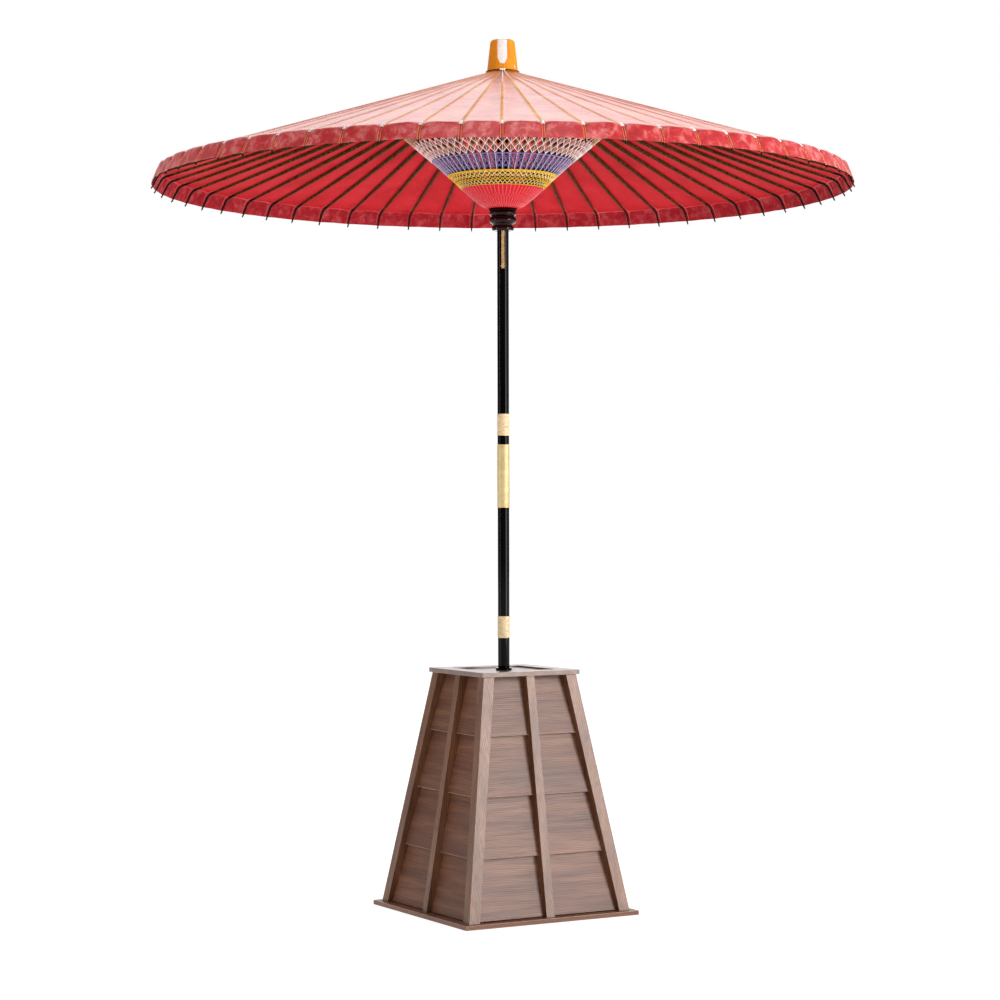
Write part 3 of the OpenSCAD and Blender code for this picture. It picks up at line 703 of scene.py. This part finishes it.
def add_rib(shape, azimuth):
    """A bamboo rib with its slot for the strut, two faint nodes and a bent tip."""
    sections = []
    for along in RIB_STATIONS:
        half, top = between(along, RIB_HALF_WIDTH), between(along, RIB_UPPER)
        bottom = between(along, RIB_LOWER)
        swell = max([0] + [1 - abs(along - node) / 0.003 for node in RIB_NODES])
        groove = RIB_TOP - 0.0035 - bottom if RIB_SLOT[0] <= along <= RIB_SLOT[1] else RIB_GROOVE
        sections.append(bar_section(lambda v, w: on_rib(azimuth, along, v, w),
                                    half + 0.0003 * swell, top, bottom - 0.0004 * swell,
                                    groove, min(SLOT_HALF, 0.4 * half)))
    shape.loft(sections, 0)
    turn_in = tan(HEM_TURN / 2)
    corner = Vector((RIB_TO_BEND - 0.0013 * turn_in, RIB_TOP))
    centre = corner + Vector((-BEND_SWING * turn_in, -BEND_SWING))
    last = RIB_STATIONS[-1]
    sections = [bar_section(lambda v, w: on_rib(azimuth, last, v, w), 0.0021, RIB_TOP,
                            between(last, RIB_LOWER), RIB_GROOVE, 0.0008)]

    def add_section(at, up, half, top, bottom, groove_half):
        sections.append(bar_section(
            lambda v, w: on_rib(azimuth, at.x + w * up.x, v, at.y + w * up.y),
            half, top, bottom, RIB_GROOVE, groove_half))

    for share in (i / 8 for i in range(9)):
        turn = HEM_TURN * share
        up = Vector((sin(turn), cos(turn)))
        on_arc = centre + BEND_SWING * up
        add_section(on_arc, up, 0.002 - 0.0001 * share, 0, 0.001 * share - 0.0052, 0.0007)
    reach = HEM_LEN + 0.0085 - BEND_SWING * turn_in
    for share, half, top, bottom in ((0.5, 0.0018, 0, -0.0037), (0.93, 0.0016, 0, -0.0032),
                                     (1, 0.0011, -0.0003, -0.0022)):
        add_section(on_arc + share * reach * Vector((up.y, -up.x)), up, half, top, bottom, 0.0006)
    shape.loft(sections, 1)
    for side in (-1, 1):
        for along in (RIB_TO_STRUT + 0.0008 * turn for turn in (-1, 0, 1)):
            shape.tube([on_rib(azimuth, along, side * aside, above) for aside, above in
                        ((0.00355, 0.0012), (0.00405, 0), (0.00355, -0.0012))], 0.0005, 5, 2)


# A strut's half width and half depth, by distance from its eye
STRUT_HALF_WIDTH = [(-0.0023, 0.0009), (0.024, 0.001), (0.11, 0.00216), (0.2, 0.0027),
                    (STRUT_LEN - 0.052, 0.0027), (STRUT_LEN - 0.05, 0.0013),
                    (STRUT_LEN + 0.003, 0.0012)]
STRUT_HALF_DEPTH = [(-0.0023, 0.0004), (-0.0015, 0.0017), (0, 0.0023), (0.06, 0.0035),
                    (STRUT_LEN - 0.052, 0.0035), (STRUT_LEN - 0.049, 0.0025),
                    (STRUT_LEN - 0.002, 0.0028), (STRUT_LEN + 0.0012, 0.0026),
                    (STRUT_LEN + 0.003, 0.0006)]


def add_strut(shape, azimuth):
    """A strut from its eye in the runner to its tongue in the rib."""
    stations = [-0.0023, -0.0015, 0, 0.024, 0.06, 0.11, 0.155, 0.2, 0.27]
    stations += [STRUT_LEN + past for past in (-0.052, -0.0495, -0.02, -0.002, 0.0012, 0.003)]
    sections = []
    for along in stations:
        half, depth = between(along, STRUT_HALF_WIDTH), between(along, STRUT_HALF_DEPTH)
        sections.append(bar_section(lambda v, w: on_strut(azimuth, along, v, w),
                                    half, depth, -depth, 0.0001, 0.3 * half, soft=0.35))
    shape.loft(sections, 0)


def ribs_and_struts(looks):
    """Main ribs and struts on their own bodies, and the others in groups beside them."""
    for sector in range(SECTORS):
        for kind, add, keep in (("rib", add_rib, RIB_KEEP), ("strut", add_strut, STRUT_KEEP)):
            name = numbered(kind, sector)
            main, beside = Shape(), Shape()
            for rib in SECTOR_RIBS:
                add(beside if rib else main, rib_azimuth(sector, rib))
            place(main.piece(f"main_{name}", looks[kind]), name, "dark_bamboo", [name])
            group = place(beside.piece(numbered(f"side_{kind}s", sector), looks[kind]), name,
                          "dark_bamboo", [f"side_{kind}s"])
            fold(group)


# ---- knots and hem threads


def add_knot(shape, azimuth):
    """White thread wound over a rib at the bend, and two thin threads down the hem."""
    bend = bend_points(0)
    first, out = bend[0]
    route = [(first - 0.003 * DOWN_ROOF, out)] + bend[:4]

    def over(point, normal, height, aside):
        return around(azimuth, point.x + height * normal.x, point.y + height * normal.y, aside)

    turns, half, wound_r, strand_r = 7, 0.0036, 0.0012, 0.0004
    for i in range(turns):
        at = i * (len(route) - 1) / (turns - 1)
        low = min(int(at), len(route) - 2)
        point = route[low][0].lerp(route[low + 1][0], at - low)
        normal = route[low][1].lerp(route[low + 1][1], at - low).normalized()
        shape.tube([over(point, normal, 0.0036 - 0.003 * share * share, half * share)
                    for share in (2 * j / 6 - 1 for j in range(7))], wound_r, 5, 0)
    last = bend[-1][0]
    for aside in (-0.0028, 0.0028):
        strand = [over(point, normal, wound_r, aside) for point, normal in bend[4:]]
        strand += [around(azimuth, last.x - 0.001, last.y - 0.0012, 0.6 * aside),
                   around(azimuth, last.x - 0.0045, last.y + 0.0005, 0.3 * aside)]
        shape.tube(strand, strand_r, 5, 1)


def knots(looks):
    for sector in range(SECTORS):
        shape = Shape()
        for rib in SECTOR_RIBS:
            add_knot(shape, rib_azimuth(sector, rib))
        piece = place(shape.piece(numbered("hem_threads", sector), looks),
                      numbered("rib", sector), "coloured_thread")
        fold(piece)


# ---- thread web on the struts

WEB_GAP = 0.0042  # the threads' layer below the struts' middle
WEB_BULGE = 0.009  # how far the web bulges down near the runner
WEB_FLAT_R = 0.198  # where the bulge ends
WEB_LOOKS = in_order("red yellow blue lilac white pink gold")
# Threads that cross a bay between struts, each one doubled by its mirror image:
# inner and outer radius, step outwards, rise across the bay, thread radius, look
WEB_BANDS = [
    (0.105, 0.135, 0.0092, 0.013, 0.00080, "yellow"),
    (0.106, 0.134, 0.0160, 0.012, 0.00050, "white"),
    (0.140, 0.176, 0.0120, 0.014, 0.00055, "blue"),
    (0.143, 0.175, 0.0180, 0.010, 0.00045, "lilac"),
    (0.146, 0.176, 0.0300, 0.030, 0.00040, "pink"),
    (0.182, 0.228, 0.0230, 0.018, 0.00060, "red"),
    (0.188, 0.228, 0.0230, 0.021, 0.00055, "gold"),
    (0.232, 0.252, 0.0058, 0.009, 0.00065, "gold"),
]
# Long threads from strut to strut that cross two bays: inner, middle and outer radius, look
WEB_CROSSES = [(0.180, 0.204, 0.2285, 0.0007, "white"), (0.184, 0.208, 0.2275, 0.0004, "pink")]
# Threads that run beside each strut: share of the bay, inner and outer radius, look
WEB_LINES = [(0.22, 0.180, 0.251, "gold"), (0.22, 0.141, 0.176, "blue")]
WEB_STRUT_LINE = (0.136, 0.16, 0.18, 0.21, 0.25)  # radii of the thread under each strut
# Rings round the web: radius, thread radius, look
WEB_RINGS = [(0.1040, 0.0008, "yellow"), (0.137, 0.0015, "yellow"), (0.158, 0.0005, "blue"),
             (0.178, 0.0012, "blue"), (0.2295, 0.0010, "pink"), (0.253, 0.0009, "gold")]


def web_sag(radius):
    """Depth of the bulge at a radius: it starts at the runner and is deepest a quarter out."""
    share = min(max(radius - STRUT_EYE_R, 0) / (WEB_FLAT_R - STRUT_EYE_R), 1)
    return WEB_BULGE * share * (1 - share) ** 3 / (0.25 * 0.75 ** 3)


def on_web(azimuth, radius, drop=0.0):
    """Point of the thread layer at a radius, drop metres further below the struts."""
    below = WEB_GAP + drop
    z = STRUT_EYE_Z + (radius - STRUT_EYE_R) * tan(STRUT_RISE) - web_sag(radius)
    return around(azimuth, radius + below * sin(STRUT_RISE),
                  z - below * cos(STRUT_RISE))


def add_band(shape, left, band):
    """Threads that cross one bay both ways, in steps outwards."""
    inner, outer, step, rise, thickness, look = band
    for low in (inner + i * step for i in range(int((outer - inner) / step) + 1)):
        high = min(low + rise, outer)
        for start, end, drop in ((low, high, 0.0), (high, low, thickness)):
            shape.tube([on_web(left, start, drop), on_web(left + BAY / 2, (start + end) / 2, drop),
                        on_web(left + BAY, end, drop)], thickness, 4, WEB_LOOKS[look])


def add_cross(shape, left, cross):
    """The stretch across one bay of every long thread that passes over it."""
    inner, middle, outer, thickness, look = cross
    for low, high in ((inner, middle), (middle, outer)):
        for start, end, drop in ((low, high, 0.001), (high, low, 0.001 + thickness)):
            shape.tube([on_web(left, start, drop), on_web(left + BAY, end, drop)],
                       thickness, 5, WEB_LOOKS[look])


def add_red_winding(shape, first):
    """Close rounds of red thread next to the runner, with one ridge for each round."""
    inner, outer, pitch = STRUT_EYE_R + 0.003, 0.1035, 0.0017
    azimuths = [first + BAY * i / 3 for i in range(3 * BAYS + 1)]
    steps = int((outer - inner) / pitch) * 3
    rows = [(inner + pitch * i / 3, 0.0005 * sin(pi * (i % 3) / 3))
            for i in range(steps + 1)]
    shape.shell([[on_web(a, radius, crest) for a in azimuths] for radius, crest in rows],
                [[on_web(a, radius, -0.0008) for a in azimuths] for radius, _ in rows],
                *(lambda i, j: WEB_LOOKS["red"],) * 2, WEB_LOOKS["red"])


def add_swirls(shape, left):
    """Thin pink threads that curve over the red winding towards the runner."""
    radii = (0.103, 0.088, 0.074, 0.062, 0.051, 0.042)
    for way in (-1, 1):
        at = left + BAY / 2 - way * BAY / 2
        shape.tube([on_web(at + way * BAY * (i / 5) ** 1.5, radius, 0.0008)
                    for i, radius in enumerate(radii)], 0.0002, 4, WEB_LOOKS["pink"])


def thread_web(looks):
    for sector in range(SECTORS):
        shape = Shape()
        first = rib_azimuth(sector, FIRST_RIB)
        add_red_winding(shape, first)
        for radius, thickness, look in WEB_RINGS:
            shape.tube([on_web(first + BAY * i, radius, 0.001) for i in range(BAYS + 1)],
                       thickness, 6, WEB_LOOKS[look])
        for left in (rib_azimuth(sector, rib) for rib in SECTOR_RIBS):
            for band in WEB_BANDS:
                add_band(shape, left, band)
            for cross in WEB_CROSSES:
                add_cross(shape, left, cross)
            add_swirls(shape, left)
            for share, inner, outer, look in WEB_LINES:
                line = [on_web(left + share * BAY, radius, 0.0002)
                        for radius in np.linspace(inner, outer, 4)]
                shape.tube(line, 0.0006, 4, WEB_LOOKS[look])
            shape.tube([on_web(left, radius, 0.0012) for radius in WEB_STRUT_LINE],
                       0.00045, 5, WEB_LOOKS["white"])
        piece = shape.piece(numbered("thread_web", sector), [looks[n] for n in WEB_LOOKS])
        place(piece, numbered("strut", sector), "coloured_thread", ["thread_web"])
        fold(piece)


# ---- runner, cap, wraps and cords


def arc_profile(centre, radius, start, end, steps):
    """Points of an arc in (radius, height), angles in degrees from straight out."""
    return [(centre[0] + radius[0] * cos(radians(a)), centre[1] + radius[1] * sin(radians(a)))
            for a in np.linspace(start, end, steps)]


def runner(look):
    """Lacquered runner: a foot, two round rings, and a drum cut into sixty teeth."""
    bottom, top = RUNNER_LOW.z, RUNNER_HIGH.z
    bore, foot, ring, drum = POLE_R + 0.0004, 0.0283, RUNNER_HIGH.x, STRUT_EYE_R - 0.004
    slots = STRUT_EYE_Z - 0.0085
    low_start, low_end = bottom + 0.0142, slots - 0.0135
    profile = [(bore, top), (bore, bottom + 0.0006), (bore + 0.0006, bottom),
               (foot - 0.0022, bottom)]
    profile += arc_profile((foot - 0.0022, bottom + 0.0065), (0.0022, 0.0065), -80, 80, 9)
    profile += [(foot - 0.0032, bottom + 0.0134), (foot - 0.003, low_start)]
    profile += arc_profile((ring - 0.0075, (low_start + low_end) / 2 + 0.002),
                           (0.0075, (low_end - low_start) / 2 - 0.002), -84, 80, 13)
    profile += [(ring - 0.0046, slots - 0.0131), (ring - 0.0046, slots - 0.0125)]
    profile += arc_profile((ring - 0.0055, slots - 0.0062), (0.0055, 0.0062), -80, 80, 11)
    profile += [(ring - 0.0035, slots + 0.0001), (drum, slots + 0.0004), (drum, top - 0.0004),
                (drum - 0.0004, top)]
    shape = Shape()
    shape.loft([[around(a, r, z) for r, z in profile] for a in circle(96)], closed=True)
    half = (BAY * STRUT_EYE_R - 0.0027) / 2
    outline = [(drum - 0.0006, -0.8 * half), (ring - 0.0005, -half), (ring, -half + 0.0003),
               (ring, half - 0.0003), (ring - 0.0005, half), (drum - 0.0006, 0.8 * half)]
    for tooth in range(SECTORS * BAYS):
        shape.loft([[around((tooth + 0.5) * BAY, r - inset, z, v * (1 - inset / half))
                     for r, v in outline]
                    for z, inset in ((slots, 0), (top - 0.0006, 0), (top, 0.0005))], 1)
    place(shape.piece("turned_runner", look, sharp=50), "runner", "red_black_lacquer", ["runner"])


def cap(looks):
    """Oiled paper cap, wrapped round its block and cut away in a notch at the front."""
    bottom, top, wall = CAP_LOW.z, CAP_HIGH.z, 0.0014
    notch = bottom + 0.017
    rows = 34

    def cap_radius(z):
        shoulder = between(z, [(top - 0.006, 0), (top - 0.002, 0.0012), (top, 0.0042)])
        flare = 0.0016 * exp(-(z - bottom) / 0.0025)
        return between(z, [(bottom, CAP_HIGH.x - 0.0014), (top, 0.031)]) - shoulder + flare

    def pucker(a, z):
        spot = Vector((cos(a) * 2, sin(a) * 2, z * 25))
        return 0.0005 * noise.noise(spot * 1.7) + 0.00025 * sin(24 * a + 9 * z)

    heights = [bottom + (top - bottom) * i / rows for i in range(rows)] + [top - 0.0006, top]
    outer = [[(cap_radius(z) + pucker(a, z), a, z) for a in circle(144)] for z in heights]
    rings = [[around(a, r, z) for r, a, z in ring] for ring in outer]
    rings += [[around(a, (r - 0.0006) * share, top + 0.0002) for r, a, _ in outer[-1]]
              for share in (0.86, 0.6, 0.3)]
    rings += [[around(a, (r - wall) * share, top - wall) for r, a, _ in outer[-1]]
              for share in (0.3, 0.6, 0.86)]
    rings += [[around(a, r - wall, min(z, top - wall)) for r, a, z in ring]
              for ring in reversed(outer[:-2])]
    shape = Shape()
    shape.loft(rings, closed=True)
    whole = shape.piece("paper_cap", looks, sharp=50)
    cutter = Shape()
    outline = [(0.013, top + 0.02), (0.013, notch + 0.02), (0.0118, notch + 0.0145),
               (0.0088, notch + 0.008), (0.006, notch + 0.0025), (0.003, notch)]
    outline += [(-x, z) for x, z in reversed(outline)]
    cutter.loft([[around(FRONT, radius, z, aside) for aside, z in outline]
                 for radius in (0.018, 0.06)])
    tool = cutter.piece("notch_tool", ())
    cut = whole.modifiers.new("notch", "BOOLEAN")
    cut.object, cut.operation, cut.solver = tool, "DIFFERENCE", "EXACT"
    graph = bpy.context.evaluated_depsgraph_get()
    cut_mesh = bpy.data.meshes.new_from_object(whole.evaluated_get(graph))
    whole.modifiers.clear()
    whole.data = cut_mesh
    cut_mesh.name = "paper_cap"
    bpy.data.objects.remove(tool)
    place(whole, "upper_pole", "orange_paper", ["cap"])


def cap_cord(looks):
    """Two strands twisted round each other in a ring at the cap's foot."""
    low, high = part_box("cap_binding")
    twists, strand_r = 60, 0.0007
    ring_r, middle = high.x - 0.0013, (low.z + high.z) / 2 + 0.0012
    shape = Shape()
    for strand in range(2):
        phases = ((a, twists * a + pi * strand) for a in circle(10 * twists))
        shape.tube([around(a, ring_r + 0.8 * strand_r * cos(phase),
                           middle + 0.8 * strand_r * sin(phase)) for a, phase in phases],
                   strand_r, 6, 0, closed=True)
    place(shape.piece("binding_cord", looks), "upper_pole", "binding_cord", ["cap_binding"])


def cap_tie(looks):
    """White thread tied over the cap's binding at the front; two white strands along the front
    ribs are painted highlights.
    """
    bottom, edge = CAP_LOW.z, CAP_HIGH.x + 0.0022
    shape = Shape()
    for turn in range(3):
        z = bottom + 0.0012 + 0.0013 * turn
        shape.tube([around(FRONT, edge - 0.0012 * share * share, z, 0.0062 * share)
                    for share in (-1.15, -0.8, -0.4, 0, 0.4, 0.8, 1.15)], 0.0009, 6, 0)
    for aside in (-0.0022, 0.0022):
        shape.tube([around(FRONT, CAP_HIGH.x - out, bottom + 0.0185, aside)
                    for out in (0.0085, 0.0045, 0.0035)], 0.0009, 6, 1)
    place(shape.piece("cap_tie", looks), "upper_pole", "binding_cord")
    # White strands laid along two front ribs: painted highlights on those ribs
    highlight_tails = Shape()
    for azimuth, reach in ((FRONT, 0.24), (FRONT + BAY, 0.12)):
        highlight_tails.tube([around(azimuth, radius, roof_z(radius) + 0.0018)
                    for radius in np.linspace(CAP_HIGH.x + 0.002, reach, 7)], 0.0012, 6, 0)
    sector = round(FRONT / (BAYS * BAY))
    fold(place(highlight_tails.piece("cap_tie_highlight_tails", looks), numbered("rib", sector), "binding_cord"))


def wrap(name, node, looks, body):
    """Rattan wound close round the pole, one ridge for each turn."""
    low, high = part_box(node)
    pitch, crest, wall, columns, rows_per_turn = 0.0024, 0.0007, 0.001, 72, 6
    rows = int((high.z - low.z) / pitch * rows_per_turn)

    def ridge(row, column):
        phase = (row / rows_per_turn - column / columns) % 1
        return crest * (sqrt(max(sin(pi * phase), 0)) - 1)

    rings = [[around(a, high.x + ridge(i, j), low.z + (high.z - low.z) * i / rows)
              for j, a in enumerate(circle(columns))] for i in range(rows + 1)]
    rings += [[around(a, high.x - wall, z) for a in circle(columns)] for z in (high.z, low.z)]
    shape = Shape()
    shape.loft(rings, closed=True)
    place(shape.piece(name, looks, sharp=70), body, "rattan", [node])


# ---- CAD nodes that keep their shape


def finish_nodes(look, nodes, edge=None, bevel=0.0):
    """Gives CAD nodes their material, and softened edges with a painted highlight where they are
    wood.
    """
    for node in nodes.split():
        piece = frame["nodes"][node]
        data = piece.data
        data.materials.clear()
        data.materials.append(look)
        if bevel:
            data.normals_split_custom_set([(0, 0, 0)] * len(data.loops))
            data.shade_flat()
            data.materials.append(edge)
            piece.modifiers.new("weld", "WELD").merge_threshold = 1e-5
            soft = piece.modifiers.new("soft_edges", "BEVEL")
            soft.width, soft.segments, soft.limit_method = bevel, 2, "ANGLE"
            soft.angle_limit, soft.material = radians(35), 1


def finish_stand():
    # Paler wood for the bevelled edges: a painted highlight along them
    edge_highlight_look = wood("painted_edge_highlight", "967258 ba967a d2b294", 2)
    boards = "482414 704229 926244"
    for look, nodes in (
            (wood("stained_wood_plate", "522c1a 74442a 8c5a3a", 0), "bottom_plate"),
            (wood("stained_wood_upright", "5c3620 7c5034 986a4a", 2, gloss=0.32, coat=0.45),
             "corner_posts centre_stiles"),
            (wood("board_wood_x", boards, 0), "clapboards_front clapboards_back"),
            (wood("board_wood_y", boards, 1), "clapboards_left clapboards_right"),
            (wood("stained_wood_rails", "503428 704e3c 8c6852", 1, gloss=0.22, coat=1.0,
                  mitred=True), "top_frame"),
            (wood("stained_wood_panel", "54382a 74503e 906c56", 0, gloss=0.22, coat=1.0),
             "top_panel")):
        finish_nodes(look, nodes, edge_highlight_look, bevel=0.0008)


def finish_pole_and_hub(red_thread):
    for look, nodes in (
            (lacquer("black_lacquer", "030202 080606", 0.05, level=0.1),
             "lower_pole upper_pole pole_collar"),
            (metal("gilt_metal", "c4ac70 dac690", 0.42, metallic=0.35), "joint_sleeve"),
            (metal("brass", "785828 ba944e", 0.25), "pole_foot post_screws"),
            (metal("tube_steel", "464648 828284", 0.35), "socket_tube"),
            (metal("cast_iron", "1a1919 3a3836", 0.6, 200), "ballast_block"),
            (wood("turned_wood", "42281a 68442e 8a6246", 2), "hub"),
            (bamboo("pale_bamboo", "96703c be985e d8ba84"), "latch_pin latch_strip"),
            (red_thread, "hub_thread runner_thread"),
            (oiled_paper("pale_core", "e8deda f6f0ee fcfaf8", 0.6, level=0.2, crease=0.06),
             "cap_core")):
        finish_nodes(look, nodes)


THREADS = {"red": "b00814 de1a28", "yellow": "e0a418 fcd83c", "white": "f8f4f0 fffefc",
           "blue": "42509c 7e8ed4", "lilac": "603e84 9670ba", "pink": "e26876 fcb0b6",
           "gold": "a8601e e8a046", "cream": "deceba fcf4e8", "hem": "ec8a42 ffd68c"}
SMOKED = dict(gloss=0.55, coat=0.0, level=0.1)
PAPERS = {
    # The upper face is paler than the underside partly as painted sheen, the glint of its gloss
    # seen low across it
    "top": ("c83a30 d85446 e87e6a", dict(gloss=0.42, coat=0.5, crease=0.8)),
    "rib_line": ("d88642 eaa25a f6be7c", dict(gloss=0.6, level=0.15, crease=0.2)),
    # The hem's pale pink patches are partly painted sheen, glints off its wrinkled gloss
    "hem": ("a60c14 be1c22 e0827e", dict(gloss=0.42, coat=0.3, crease=0.8, patch=38)),
    "hem_rib": ("a8141a bc2022 ce4234", dict(gloss=0.5)),
    "under": ("ac121a be1b24 c6262e", dict(gloss=0.65, level=0.1)),
    # Paler glue strips and inner bend row: painted highlights
    "glue": ("b2282e c24244 d6706e", dict(gloss=0.6, level=0.1)),
    "hem_inside": ("92101a a01b24 ba4a50", dict(gloss=0.6, level=0.1, crease=0.9, patch=38)),
}


def main():
    make_camera()
    make_studio()

    finish_stand()
    threads = {name: thread(f"{name}_thread", tones) for name, tones in THREADS.items()}
    finish_pole_and_hub(threads["red"])

    papers = {name: oiled_paper(f"paper_{name}", tones, **rest)
              for name, (tones, rest) in PAPERS.items()}
    for sector in range(SECTORS):
        for zone in range(len(PAPER_ZONES)):
            paper_sector(sector, zone, papers)
    ribs_and_struts({"rib": [bamboo("smoked_bamboo", "281404 4e2e10 744c20", **SMOKED),
                             bamboo("rib_tip", "0e0a08 1e150f 36261c", **SMOKED),
                             threads["cream"]],
                     "strut": [bamboo("strut_bamboo", "1e0e0a 361c14 543022")]})
    knots([threads["white"], threads["hem"]])
    thread_web(threads)

    runner([lacquer("runner_lacquer", "0c0203 34080c", 0.06, level=0.2),
            lacquer("runner_teeth", "301010 501e1c", 0.35)])
    cap([oiled_paper("orange_paper", "dc7604 ea8e08 f2a018", 0.5, level=0.25)])
    dark_cord = thread("dark_cord", "220e08 4c2414")
    cap_cord([dark_cord])
    cap_tie([threads["white"], dark_cord])
    split_rattan = [rattan()]
    wrap("rattan_wrap_low", "lower_rattan", split_rattan, "lower_pole")
    wrap("rattan_wrap_high", "upper_rattan", split_rattan, "upper_pole")


main()
